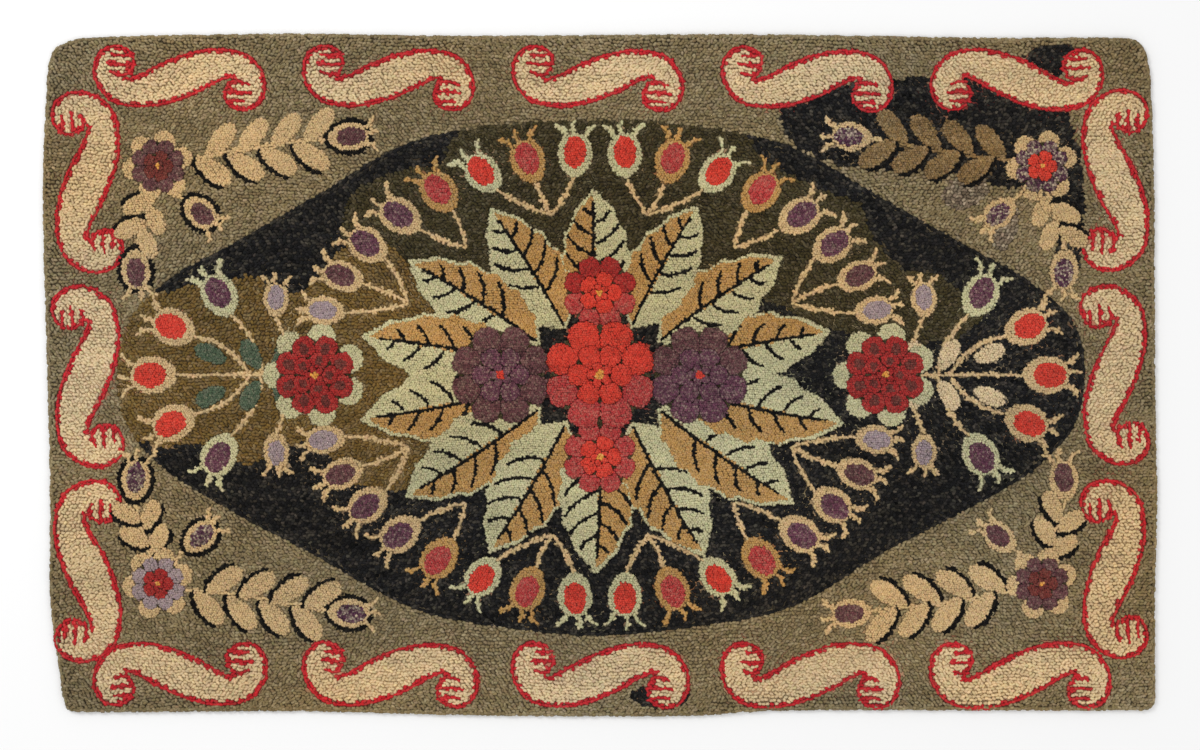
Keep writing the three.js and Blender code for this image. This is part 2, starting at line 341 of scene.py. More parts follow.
def inside(points, loop):
    """Which points lie inside a closed loop."""
    within = np.zeros(len(points), bool)
    near = np.flatnonzero(((points >= loop.min(0)) & (points <= loop.max(0))).all(1))
    if len(near):
        (x1, y1), (x2, y2) = loop.T, np.roll(loop, -1, 0).T
        x, y = points[near, :1], points[near, 1:]
        rise = np.where(y1 == y2, 1.0, y2 - y1)
        crossed = ((y1 > y) != (y2 > y)) & (x < x1 + (y - y1) * (x2 - x1) / rise)
        within[near] = crossed.sum(1) % 2 == 1
    return within


def walk(line, pitch, closed):
    """Places at an even pitch along a line, and the heading at each in radians."""
    line = np.vstack([line, line[:1]]) if closed else np.asarray(line, float)
    run = np.concatenate([[0], np.cumsum(np.hypot(*np.diff(line, axis=0).T))])
    count = max(1, round(run[-1] / pitch))
    at = (np.arange(count) + 0.5) * run[-1] / count

    def spot(distance):
        return np.column_stack([np.interp(distance, run, line[:, 0]), np.interp(distance, run, line[:, 1])])

    ahead = spot(at + 1) - spot(at - 1)
    return spot(at), np.arctan2(ahead[:, 1], ahead[:, 0])


def placed(points, x, y, heading):
    """Points drawn along +X from the origin, turned to a heading and moved to (x, y)."""
    p, c, s = np.asarray(points, float), cos(radians(heading)), sin(radians(heading))
    return np.column_stack([x + p[:, 0] * c - p[:, 1] * s, y + p[:, 0] * s + p[:, 1] * c])


def oval(x, y, heading, length, width, point=0.0, steps=20, full=1.0):
    """An egg-shaped loop round (x, y). A positive point narrows its far end and a negative one its near end.
    A full oval is nearer to a square."""
    t = np.arange(steps) * 2 * pi / steps
    cosine, sine = (np.sign(wave) * np.abs(wave) ** (1 / full) for wave in (np.cos(t), np.sin(t)))
    across = width / 2 * sine * (1 - point * cosine)
    return placed(np.column_stack([length / 2 * cosine, across]), x, y, heading)


def bowed(start, end, bow):
    """A line from start to end that bows to its left by a share of its length."""
    t = np.linspace(0, 1, LINE_POINTS)[:, None]
    start, end = np.asarray(start, float), np.asarray(end, float)
    left = np.array([start[1] - end[1], end[0] - start[0]])
    return start + (end - start) * t + left * 4 * bow * t * (1 - t)


def inset(loop, depth):
    """An anticlockwise loop drawn again inside itself."""
    along = np.roll(loop, -1, 0) - np.roll(loop, 1, 0)
    along /= np.maximum(np.hypot(*along.T), 1e-9)[:, None]
    return loop + depth * np.column_stack([-along[:, 1], along[:, 0]])


def wavering(loop, amount):
    """A loop with the small errors of a line that was never ruled."""
    turn = np.arange(len(loop)) * 2.4
    return loop + amount * np.column_stack([np.sin(turn), np.cos(1.7 * turn)])


def slip(key, amount):
    """A small error of the drawing hand, the same each time for one key."""
    return amount * sin(12.9 * key + 4.1)


def rim_loop():
    """The rug's edge, fitted to its full length and width."""
    loop = smooth_loop(RIM, LOOP_STEPS)
    middle = (loop.max(0) + loop.min(0)) / 2
    return (loop - middle) * RUG_SIZE / np.ptp(loop, axis=0)


# The worked design, drawn as patches of yarn with rows of tufts over them

Patch = namedtuple("Patch", "loop dye piece rise dome body fine within")
Row = namedtuple("Row", "line dye piece rise closed layer")
EDGE_INSET, STROKE_TAPER = 1.9, 0.8


class Drawing:
    """The design in the order that it is drawn: each patch covers what lies under it."""

    def __init__(self):
        self.patches, self.rows = [], []

    def patch(self, loop, dye, piece, rise=0.0, dome=0.0, body=None, edge=False, fine=True, within=None):
        """Fills a loop with one yarn. body = (x, y, heading, length, width) is the oval that its dome covers.
        A fine patch is of clipped tufts and the rest is of loops. An edge is a row of loops round it."""
        area = np.sum(loop[:, 0] * np.roll(loop[:, 1], -1) - loop[:, 1] * np.roll(loop[:, 0], -1))
        loop = loop if area > 0 else loop[::-1]
        self.patches.append(Patch(loop, dye, piece, rise, dome, body, fine, within))
        if edge:
            self.row(inset(loop, EDGE_INSET), dye, piece, rise=rise, closed=True)
        return loop

    def row(self, line, dye, piece, rise=0.0, closed=False):
        """Hooks one row of loops along a line, over the patches drawn before it."""
        self.rows.append(Row(line, dye, piece, rise, closed, len(self.patches)))

    def stroke(self, line, width, dye, piece, rise=0.0, fine=True):
        """Hooks a tapering band of yarn along a line, with one row of loops down its middle."""
        line = np.asarray(line, float)
        along = np.gradient(line, axis=0)
        along /= np.hypot(*along.T)[:, None]
        share = np.linspace(-1, 1, len(line))[:, None]
        taper = np.sqrt(1 - STROKE_TAPER * share ** 4)
        side = np.column_stack([-along[:, 1], along[:, 0]]) * width / 2 * taper
        self.patch(np.vstack([line - side, (line + side)[::-1]]), dye, piece, rise, fine=fine)
        self.row(line, dye, piece, rise)


def draw_scroll(drawing, key, scroll):
    along, across = (share + slip(key + i / 2, STRETCH_SLIP[i]) for i, share in enumerate(SCROLL_STRETCH))
    stretch = (along, scroll.flip * across)
    x, y = scroll.x + slip(key, SCROLL_SLIP), scroll.y + slip(key + 0.3, SCROLL_SLIP)
    turn = scroll.turn + slip(key, SCROLL_TURN_SLIP)

    def put(points):
        return placed(np.asarray(points) * stretch, x, y, turn)

    half = np.array(SCROLL_HALF, float)
    outline = put(smooth_loop(np.vstack([half, -half]), LOOP_STEPS))
    loop = drawing.patch(outline, "madder", "scroll_pile", edge=True, fine=False)
    drawing.patch(inset(loop, SCROLL_LINE), "cream", "scroll_pile", fine=False)
    for i, stroke in enumerate(SCROLL_COMB):
        for end in (1, -1):
            to_x = stroke.to_x + slip(key + i + 2 * end, COMB_SLIP)
            line = bowed((stroke.x, stroke.y), (to_x, stroke.to_y), stroke.bow)
            drawing.stroke(put(end * line), COMB_LINE, "madder", "scroll_pile", fine=False)


def leaf_half_width(share, width):
    return width / 2 * np.sin(pi * np.asarray(share, float) ** LEAF_BELLY) ** LEAF_BLUNTNESS


VEIN_RISE, VEIN_LINE, SHADOW_LINE, OUTLINE = 0.5, 5.4, 7, 12
STEM_RISE, STEM_LINE, SEPAL_LINE = 0.6, 6.2, 6.4


def toothed_side(length, width):
    """Crests and notches along one side of a toothed leaf."""
    crest = (np.arange(WREATH.teeth) + FIRST_CREST) / (WREATH.teeth + LAST_NOTCH)
    notch = (np.arange(WREATH.teeth) + 1) / (WREATH.teeth + LAST_NOTCH)
    side = np.empty((2 * WREATH.teeth, 2))
    side[::2] = np.column_stack([length * crest, leaf_half_width(crest, width)])
    side[1::2] = np.column_stack([length * notch, leaf_half_width(notch, width) * (1 - WREATH.depth)])
    return side


def draw_wreath_leaf(drawing, i):
    turn = radians(360 * (i + 0.5) / WREATH.leaves + slip(i + 0.2, LEAF_SLIP.turn))
    root, tip = (np.array(end) * (cos(turn), sin(turn)) for end in (WREATH.root, WREATH.tip))
    tip = tip * (1 + slip(i, LEAF_SLIP.reach))
    length, heading = hypot(*(tip - root)), degrees(atan2(*(tip - root)[::-1]))
    width = WREATH.width * (1 + slip(i + 0.5, LEAF_SLIP.width))
    side = toothed_side(length, width)
    body = (*((root + tip) / 2), heading, length * 1.05, width)
    pile = dict(rise=WREATH.rise, dome=WREATH.dome, body=body)

    def put(points):
        return placed(points, *root, heading)

    whole = np.vstack([[(0, 0)], side * (1, -1), [(length, 0)], side[::-1]])
    drawing.patch(put(whole), "sage", "leaf_pile", **pile)
    hand = 1 if i % 7 < 4 else -1
    warm_side = side * (WARM_SHARE, 1) - (0, WARM_MARGIN)
    warm = np.vstack([[(WARM_ROOT, 0)], warm_side, [(length * WARM_TIP, 0)]]) * (1, hand)
    drawing.patch(put(warm), "ochre", "leaf_pile", **pile)
    rise = WREATH.rise + VEIN_RISE
    midrib = bowed((WARM_ROOT, 0), (length * MIDRIB_TIP, 0), MIDRIB_BOW * hand)
    drawing.stroke(put(midrib), VEIN_LINE, "ink", "vein_pile", rise)
    for k in range(WREATH.veins):
        for sign in (1, -1):
            start = VEIN_START + VEIN_STEP * k + VEIN_STAGGER * sign
            reach = float(leaf_half_width(min(start + 0.1, VEIN_LAST), width))
            reach *= VEIN_REACH + slip(3 * i + k + sign, LEAF_SLIP.vein)
            end = (length * start + reach * VEIN_SLOPE, sign * reach)
            vein = bowed((length * start, 0), end, VEIN_BOW * sign)
            drawing.stroke(put(vein), VEIN_LINE, "ink", "vein_pile", rise)


def draw_rose(drawing, rose):
    """A sculpted flower: rings of rounded petals, each higher than the last, on a bed of dark yarn."""
    rings = [(OUTER_RING, rose.outer, rose.dye), (INNER_RING, rose.inner, rose.inner_dye),
             (CROWN_RING, CROWN_PETALS, rose.inner_dye)]
    for ring, petals, colour in rings:
        span = 2 * rose.radius * (ring.reach + ring.length * BED_REACH)
        bed = oval(rose.x, rose.y, 0, span, span)
        drawing.patch(bed, "moss", "rose_pile", rise=rose.rise * ring.base * BED_RISE)
        for i in range(petals):
            turn = 360 * (i + ring.turn) / petals
            x = rose.x + rose.radius * ring.reach * cos(radians(turn))
            y = rose.y + rose.radius * ring.reach * sin(radians(turn))
            width = 2 * pi * rose.radius * ring.reach / petals * PETAL_LAP
            body = (x, y, turn, rose.radius * ring.length, width)
            pile = dict(rise=rose.rise * ring.base, dome=rose.rise * ring.dome, body=body)
            low = ring is OUTER_RING and sin(radians(turn)) < 0
            petal = rose.lower_dye if low else colour
            drawing.patch(oval(*body, point=PETAL_POINT, full=PETAL_FULL), petal, "rose_pile", **pile)
            if rose.eyes and ring is not CROWN_RING:
                eye = oval(x, y, turn, body[3] * EYE_LENGTH, width * EYE_WIDTH, steps=EYE_STEPS)
                drawing.patch(eye, rose.eyes, "rose_pile", **pile)
    heart = oval(rose.x, rose.y, 0, rose.radius * HEART_SIZE, rose.radius * HEART_SIZE, steps=HEART_STEPS)
    drawing.patch(heart, rose.heart, "rose_pile", rise=rose.rise)


def draw_bud(drawing, bud, outlined=False):
    """A bud on its stem: a hull, a bright core inside it, and sepals curling from its tip."""
    along = np.array([cos(radians(bud.heading)), sin(radians(bud.heading))])
    left = np.array([-along[1], along[0]])
    middle = np.array([bud.x, bud.y])
    stem = bowed((bud.foot_x, bud.foot_y), middle - along * bud.length * STEM_END, bud.bow)
    drawing.stroke(stem, STEM_LINE, "tan", "stem_pile", STEM_RISE)
    width = bud.width * BUD_FULLNESS
    if outlined:
        edge = oval(bud.x, bud.y, bud.heading, bud.length + OUTLINE, width + OUTLINE, point=HULL_POINT)
        drawing.patch(edge, "ink", "vein_pile")
    for sepal in SEPALS:
        fan = radians(sepal.fan)
        root = middle + along * cos(fan) * bud.length * SEPAL_ROOT + left * sin(fan) * bud.width * SEPAL_ROOT
        turn = radians(bud.heading + sepal.fan * SEPAL_TURN)
        end = root + bud.length * sepal.reach * np.array([cos(turn), sin(turn)])
        drawing.stroke(bowed(root, end, sepal.curl), SEPAL_LINE, bud.hull, "stem_pile", STEM_RISE)
    body = (bud.x, bud.y, bud.heading, bud.length, width)
    drawing.patch(oval(*body, point=HULL_POINT), bud.hull, "bud_pile", body=body, **HULL_PILE)
    place = middle + along * bud.length * CORE_SHIFT
    core = (*place, bud.heading, bud.length * CORE_SIZE, bud.width * CORE_SIZE)
    shape = oval(*core, point=CORE_POINT, steps=CORE_STEPS)
    drawing.patch(shape, bud.heart, "bud_pile", body=core, **CORE_PILE)


def draw_leaf(drawing, x, y, heading, length, width, colour, shadow=0):
    """A plain leaf with its root at (x, y). A shadow of 1 or -1 hooks a black stroke along that side."""
    local = oval(length / 2, 0, 0, length, width, point=LEAF_POINT)
    if shadow:
        side = inset(local, -SHADOW_GAP * SHADOW_LINE)[SHADOW_PART] * (1, shadow)
        drawing.stroke(placed(side, x, y, heading), SHADOW_LINE, "ink", "vein_pile")
    body = (*placed([(length / 2, 0)], x, y, heading)[0], heading, length, width)
    drawing.patch(placed(local, x, y, heading), colour, "spray_pile", body=body, **LEAF_PILE)


def draw_sepals(drawing, x, y, turns, root, size, colour):
    """Leaves that show all round from under a rose."""
    for turn in turns:
        draw_leaf(drawing, x + root * cos(radians(turn)), y + root * sin(radians(turn)), turn, *size, colour)


def mirrored_heading(heading, across, up):
    turn = radians(heading)
    return degrees(atan2(sin(turn) * up, cos(turn) * across))


def mirrored(bud, across, up):
    return bud._replace(x=bud.x * across, y=bud.y * up, heading=mirrored_heading(bud.heading, across, up),
                        foot_x=bud.foot_x * across, foot_y=bud.foot_y * up, bow=bud.bow * across * up)


def ring_bud(row):
    x, y = np.array(BUD_RING) * (cos(radians(row.turn)), sin(radians(row.turn)))
    foot = np.array(FOOT_RING) * (cos(radians(row.foot)), sin(radians(row.foot)))
    heading = degrees(atan2(y - BUD_LEAN * foot[1], x - BUD_LEAN * foot[0]))
    bow = STEM_BOW if row.turn > row.foot else -STEM_BOW
    return Bud(x, y, heading, row.length, row.width, row.hull, row.heart, *foot, bow)


def draw_arm(drawing, arm, across, up):
    """A stem of a corner spray with leaves set by turns on either side of it."""
    root, end = np.array([arm.x * across, arm.y * up]), np.array([arm.to_x * across, arm.to_y * up])
    heading = degrees(atan2(*(end - root)[::-1]))
    colour = "fawn" if across > 0 and up > 0 and arm is ARMS[0] else "tan"
    drawing.stroke(bowed(root, end, ARM_BOW), STEM_LINE, colour, "stem_pile", STEM_RISE)
    for k in range(2 * arm.pairs):
        share, side = (k // 2 + ARM_START + ARM_STAGGER * (k % 2)) / arm.pairs, 1 if k % 2 else -1
        shadow = side if up < 0 or side * across > 0 else 0
        x, y = root + (end - root) * share
        draw_leaf(drawing, x, y, heading + ARM_SPREAD * side, arm.length, arm.width, colour, shadow)


def draw_corner(drawing, across, up):
    for arm in ARMS:
        draw_arm(drawing, arm, across, up)
    x, y = CORNER_ROSE.x * across, CORNER_ROSE.y * up
    draw_sepals(drawing, x, y, CORNER_SEPALS, CORNER_SEPAL_ROOT, CORNER_SEPAL, "tan")
    first, second = CORNER_DYES[across, up]
    draw_rose(drawing, CORNER_ROSE._replace(x=x, y=y, dye=first, inner_dye=second, lower_dye=first))


def draw_rug():
    drawing = Drawing()
    lozenge = smooth_loop(LOZENGE, 5)
    drawing.patch(lozenge, "black", "black_pile", edge=True, fine=False)
    for patch, colour in ((MOSS_PATCH, "moss"), (UMBER_PATCH, "umber")):
        loop = wavering(smooth_loop(patch, LOOP_STEPS), PATCH_WAVER)
        drawing.patch(loop, colour, "brown_pile", fine=False, within=lozenge)
    corner = wavering(smooth_loop(CORNER_PATCH, LOOP_STEPS), CORNER_WAVER)
    drawing.patch(corner, "black", "black_pile", fine=False)
    for spot in FADED_SPOTS:
        drawing.patch(oval(*spot), "faded", PLAIN, fine=False)
    drawing.patch(oval(*DARK_SPOT), "black", "black_pile", fine=False)
    for key, scroll in enumerate(SCROLLS):
        draw_scroll(drawing, key, scroll)
    for i in range(WREATH.leaves):
        draw_wreath_leaf(drawing, i)
    for across, up in QUARTERS:
        for bud in (*map(ring_bud, RING_BUDS), *SIDE_BUDS):
            draw_bud(drawing, mirrored(bud, across, up))
        for bud in CORNER_BUDS:
            bud = bud._replace(heart="thistle" if across == up else "plum")
            draw_bud(drawing, mirrored(bud, across, up), outlined=across < 0)
        draw_corner(drawing, across, up)
        for leaf in SIDE_LEAVES:
            heading = mirrored_heading(leaf.heading, across, up)
            colour = "teal" if across < 0 else "cream"
            draw_leaf(drawing, leaf.x * across, leaf.y * up, heading, *SIDE_LEAF, colour)
    for across in (1, -1):
        draw_bud(drawing, mirrored(AXIS_BUD, across, 1))
        draw_sepals(drawing, SIDE_ROSE_X * across, 0, ROSE_SEPALS, ROSE_SEPAL_ROOT, ROSE_SEPAL, "sage")
    for rose in ROSES:
        draw_rose(drawing, rose)
    return drawing


# Hooking: where every tuft stands, how high, which way its row runs and how it leans

Tufts = namedtuple("Tufts", "place turn lean top fine dye piece")
PLAIN = "ground"
STEEPEST = 0.9
KEEP_CLEAR = (2.2, 2.4)
JITTER = {False: 0.27, True: 0.26}
STRAYING, TWISTING = 0.45, 0.25
TURNING = {False: 0.55, True: 3}
FLOW_REACH = 8
ROW_STEP = 0.95
RimRow = namedtuple("RimRow", "depth lean drop")
RIM_ROWS = [RimRow(2.6, 22, 0.5), RimRow(1.0, 52, 2.0), RimRow(0.5, 78, 4.0)]
RAGGED = 1.3


class Canvas:
    """The rug in cells of a millimetre: what is already hooked, and which way the rows near a cell run."""

    def __init__(self):
        self.shape = tuple(int(side) + 40 for side in RUG_SIZE)
        self.taken = np.zeros(self.shape, np.uint8)
        self.flow = np.full(self.shape, np.nan, np.float32)

    def cells(self, points):
        cell = np.rint(points + np.array(self.shape) / 2).astype(int)
        return tuple(np.clip(cell, 0, np.array(self.shape) - 1).T)

    @staticmethod
    def around(radius):
        reach = int(radius + 1)
        steps = [(x, y) for x in range(-reach, reach + 1) for y in range(-reach, reach + 1)]
        return [step for step in steps if hypot(*step) <= radius]

    def mark(self, points, radius, value):
        for step in self.around(radius):
            cell = self.cells(points + step)
            self.taken[cell] = np.maximum(self.taken[cell], value)

    def comb(self, points, turn):
        for step in self.around(FLOW_REACH):
            cell = self.cells(points + step)
            free = np.isnan(self.flow[cell])
            self.flow[cell[0][free], cell[1][free]] = turn[free]


def patch_over(drawing, points, above=0):
    """The index of the last patch over each point, or -1 on the plain ground."""
    top = np.full(len(points), -1)
    for i, patch in enumerate(drawing.patches[above:], above):
        hit = np.flatnonzero(inside(points, patch.loop))
        if patch.within is not None:
            hit = hit[inside(points[hit], patch.within)]
        top[hit] = i
    return top


def dome_over(points, patch):
    """How high the dome of a patch stands at each point, and its slope there."""
    x, y, heading, length, width = patch.body
    c, s = cos(radians(heading)), sin(radians(heading))
    u = ((points[:, 0] - x) * c + (points[:, 1] - y) * s) / (length / 2)
    v = ((points[:, 1] - y) * c - (points[:, 0] - x) * s) / (width / 2)
    inner = np.maximum(1 - u * u - v * v, 0)
    steep = -patch.dome / np.sqrt(inner + 0.12)
    along, across = steep * u / (length / 2), steep * v / (width / 2)
    slope = np.column_stack([along * c - across * s, along * s + across * c])
    return patch.dome * np.sqrt(inner), slope


def tufts_in(place, turn, lean, top, fine, dye, piece):
    count = len(place)
    fill = (np.broadcast_to(value, count) for value in (top, fine, dye, piece))
    return Tufts(place, turn, lean, *fill)


def along_rows(drawing, canvas, steps, rng):
    """The tufts of every row, from the last drawn to the first, as what is drawn later covers the rest."""
    for row in sorted(drawing.rows, key=lambda row: -row.layer):
        place, turn = walk(row.line, steps[False][0] * ROW_STEP, row.closed)
        keep = patch_over(drawing, place, row.layer) < 0
        place, turn = place[keep], turn[keep]
        keep = canvas.taken[canvas.cells(place)] < 2
        place, turn = place[keep], turn[keep]
        for radius, value in zip(KEEP_CLEAR, (2, 1)):
            canvas.mark(place, radius, value)
        canvas.comb(place, turn)
        place = place + rng.normal(0, STRAYING, place.shape)
        turn = turn + rng.normal(0, TWISTING, len(turn))
        yield tufts_in(place, turn, np.zeros_like(place), row.rise, False, row.dye, row.piece)


def between_rows(drawing, canvas, rim, steps, rng):
    """The tufts that fill the patches and the ground, in staggered rows that bend with their neighbours."""
    fine_patch = np.array([patch.fine for patch in drawing.patches] + [False])
    for fine, (along, across) in steps.items():
        ys = np.arange(-RUG_SIZE[1] / 2, RUG_SIZE[1] / 2, across)
        xs = np.arange(-RUG_SIZE[0] / 2, RUG_SIZE[0] / 2, along)
        x, y = np.meshgrid(xs, ys)
        x = x + (np.arange(len(ys)) % 2)[:, None] * along / 2
        place = np.column_stack([x.ravel(), y.ravel()])
        place += np.column_stack([patchy(place, 52, 44, 23), patchy(place, 48, 40, 29)]) * across * 1.5
        place += rng.uniform(-1, 1, place.shape) * (along, across) * JITTER[fine]
        place = place[canvas.taken[canvas.cells(place)] < 1]
        place = place[inside(place, inset(rim, 4.2))]
        over = patch_over(drawing, place)
        keep = fine_patch[over] == fine
        place, over = place[keep], over[keep]
        turn = canvas.flow[canvas.cells(place)].astype(float)
        free = np.isnan(turn)
        turn[free] = 0.5 * np.sin(place[free, 0] / 90 + 2 * np.sin(place[free, 1] / 140))
        turn += rng.normal(0, TURNING[fine], len(turn))
        for i in np.unique(over):
            mine = over == i
            patch = drawing.patches[i] if i >= 0 else Patch(None, "olive", PLAIN, 0, 0, None, False, None)
            top, lean = np.zeros(mine.sum()), np.zeros((mine.sum(), 2))
            if patch.dome:
                top, lean = dome_over(place[mine], patch)
            yield tufts_in(place[mine], turn[mine], lean, patch.rise + top, fine, patch.dye, patch.piece)


def round_rim(rim, steps, rng):
    """Rows along the edge that lean further out and lower each time, so that the pile rolls over the hem."""
    for row in RIM_ROWS:
        line = inset(rim, row.depth)
        place, turn = walk(line, steps[False][0] * ROW_STEP, closed=True)
        outward = np.column_stack([np.sin(turn), -np.cos(turn)])
        place = place + outward * rng.uniform(-1, 1, (len(place), 1)) * RAGGED
        lean = outward * -np.tan(radians(row.lean))
        yield tufts_in(place, turn, lean, -row.drop, False, "olive", PLAIN)


@lru_cache(maxsize=1)
def hooked(loop_length, loop_spacing, tuft_length, tuft_spacing):
    """Every tuft of the rug, worked out once for one set of sizes."""
    steps = {True: (tuft_length, tuft_spacing), False: (loop_length, loop_spacing)}
    rng = np.random.default_rng(7)
    drawing, canvas, rim = draw_rug(), Canvas(), rim_loop()
    found = [
        *along_rows(drawing, canvas, steps, rng),
        *between_rows(drawing, canvas, rim, steps, rng),
        *round_rim(rim, steps, rng),
    ]
    return Tufts(*(np.concatenate(column) for column in zip(*found)))


def all_tufts():
    sizes = bpy.context.scene.rug_sizes
    steps = (sizes.loop_length, sizes.loop_spacing, sizes.tuft_length, sizes.tuft_spacing)
    return hooked(*(round(step / MM, 3) for step in steps))


def patchy(points, across, up, seed):
    """Smooth unevenness from -1 to 1 over the rug, in patches of about one size."""
    cells = np.ceil(RUG_SIZE / (across, up)).astype(int) + 3
    level = np.random.default_rng(seed).uniform(-1, 1, cells)
    at = (points + RUG_SIZE / 2) / (across, up)
    at = np.clip(at, 0, cells - 2)
    i, j = np.floor(at).astype(int).T
    x, y = ((at - np.floor(at)) ** 2 * (3 - 2 * (at - np.floor(at)))).T
    low = level[i, j] * (1 - x) + level[i + 1, j] * x
    high = level[i, j + 1] * (1 - x) + level[i + 1, j + 1] * x
    return low * (1 - y) + high * y


def dyed(place, names, rng):
    """A linear colour for each tuft: heathered wool in uneven strips, faded unevenly over the rug."""
    dyes = bpy.context.scene.rug_dyes
    colour = np.empty((len(place), 3))
    for name in np.unique(names):
        mine = names == name
        mix = HEATHER.get(name, PLAIN_HEATHER)
        base = np.array(getattr(dyes, name))
        fleck = base + (linear(FLECK) - base) * mix.lift
        lifted = np.clip(rng.normal(mix.share, 0.5, (mine.sum(), 1)), 0, 1)
        shade = base + (fleck - base) * lifted
        strip = patchy(place[mine], 70, 9, len(name)) * mix.spread
        fade = patchy(place[mine], 260, 180, 3) * 0.1 + patchy(place[mine], 60, 45, 5) * 0.05
        tuft = rng.normal(0, mix.spread, mine.sum())
        colour[mine] = shade * (1 + strip + fade + tuft)[:, None]
        warm = patchy(place[mine], 190, 150, 11) * 0.05
        colour[mine] *= np.column_stack([1 + warm, np.ones_like(warm), 1 - 1.6 * warm])
        colour[mine] *= rng.normal(1, HUE_SPREAD, (mine.sum(), 3))
    return np.clip(colour, 0.001, 1)


# Materials

class Socket:
    """A value in a material's nodes. Sums and products of sockets add the Math nodes that work them out."""

    def __init__(self, shader, link):
        self.shader, self.link = shader, link

    def maths(self, operation, *values):
        return self.shader.add("ShaderNodeMath", {"operation": operation}, dict(enumerate(values)))

    def __add__(self, other):
        return self.maths("ADD", self, other)

    def __rsub__(self, other):
        return self.maths("SUBTRACT", other, self)

    def __mul__(self, other):
        return self.maths("MULTIPLY", self, other)

    __radd__ = __add__
    __rmul__ = __mul__


class Shader:
    """A material and its nodes."""

    def __init__(self, name):
        self.material = bpy.data.materials.new(name)
        self.material.use_nodes = True
        self.nodes, self.links = self.material.node_tree.nodes, self.material.node_tree.links
        self.nodes.clear()

    def add(self, kind, settings=None, sockets=None, output=0):
        """Adds a node, applies its settings, fills its sockets with values or links, and gives an output."""
        node = self.nodes.new(kind)
        for name, value in (settings or {}).items():
            setattr(node, name, value)
        for name, value in (sockets or {}).items():
            if isinstance(value, Socket):
                self.links.new(value.link, node.inputs[name])
            else:
                node.inputs[name].default_value = value
        return Socket(self, node.outputs[output]) if len(node.outputs) else None

    def scaled(self, colour, share):
        return self.add("ShaderNodeVectorMath", {"operation": "SCALE"}, {0: colour, "Scale": share})

    def mixed(self, first, second, share):
        settings = {"data_type": "RGBA", "clamp_factor": True}
        return self.add("ShaderNodeMix", settings, {0: share, 6: first, 7: second}, output=2)

    def noise(self, place, scale, detail, output="Fac"):
        sockets = {"Vector": place, "Scale": scale, "Detail": detail}
        return self.add("ShaderNodeTexNoise", None, sockets, output)

    def finish(self, colour, roughness, normal, sheen, sheen_roughness):
        surface = self.add("ShaderNodeBsdfPrincipled", None, {
            "Base Color": colour,
            "Roughness": roughness,
            "Normal": normal,
            "Specular IOR Level": 0.08,
            "Sheen Weight": sheen,
            "Sheen Roughness": sheen_roughness,
        })
        self.add("ShaderNodeOutputMaterial", None, {"Surface": surface})
        return self.material


def wool(name, fibre_scale, crevice_shade, sheen):
    """Wool yarn: the tuft's own dye, with painted shade that darkens it towards the foot of each tuft where it
    meets its neighbours, and fine fibres that catch the light.
    """
    shader = Shader(name)
    place = shader.add("ShaderNodeTexCoord", output="Object")
    colour = shader.add("ShaderNodeAttribute", {"attribute_name": "dye"}, output="Color")
    height = shader.add("ShaderNodeAttribute", {"attribute_name": "height"}, output="Fac")
    fibres = shader.noise(place, fibre_scale, 3)
    strands = shader.noise(place, fibre_scale / 4, 2)
    # painted shade: crevice_shade darkens the dye towards the low end of the height attribute, the foot of each
    # tuft
    shade = (1 - crevice_shade + crevice_shade * height) * (0.82 + 0.36 * fibres)
    relief = fibres + 0.6 * strands
    normal = shader.add("ShaderNodeBump", None, {"Height": relief, "Strength": 0.55, "Distance": 0.5 * MM})
    return shader.finish(shader.scaled(colour, shade), 0.8 + 0.16 * strands, normal, sheen, 0.5)


def burlap(name, cloth):
    """Burlap, mottled by the slubs in its threads. The weave and the backs of the stitches come out plain, because
    Socket.maths leaves the first input of SINE, ABSOLUTE and GREATER_THAN at its default."""
    shader = Shader(name)
    place = shader.add("ShaderNodeTexCoord", output="Object")
    across = shader.add("ShaderNodeSeparateXYZ", None, {0: place}, output="X")
    up = shader.add("ShaderNodeSeparateXYZ", None, {0: place}, output="Y")
    dyes = shader.add("ShaderNodeAttribute", {"attribute_name": "dye"}, output="Color")
    hidden = shader.add("ShaderNodeAttribute", {"attribute_name": "height"}, output="Fac")
    thread = pi / (2 * MM)
    weft, warp = (across * thread).maths("SINE"), (up * thread).maths("SINE")
    weave = (weft * weft) * 0.5 + (warp * warp) * 0.5
    slub = shader.noise(place, 160, 2)
    stitch_x = (across * (pi / (4.5 * MM)) + slub * 4).maths("SINE")
    stitch_y = (up * (pi / (3.8 * MM)) + slub * 3).maths("SINE")
    stitch = stitch_x.maths("ABSOLUTE") * stitch_y.maths("ABSOLUTE")
    stitch = stitch.maths("GREATER_THAN", 0.34) * (1 - hidden)
    bare = shader.scaled(cloth, 0.6 + 0.3 * weave + 0.2 * slub)
    colour = shader.mixed(bare, dyes, stitch)
    relief = weave + stitch
    normal = shader.add("ShaderNodeBump", None, {"Height": relief, "Strength": 0.7, "Distance": 0.4 * MM})
    return shader.finish(colour, 0.85 + 0.1 * slub, normal, 0.1, 0.5)


def material(name, make, *values):
    """The material of that name, made on its first use."""
    return bpy.data.materials.get(name) or make(name, *values)


# Meshes

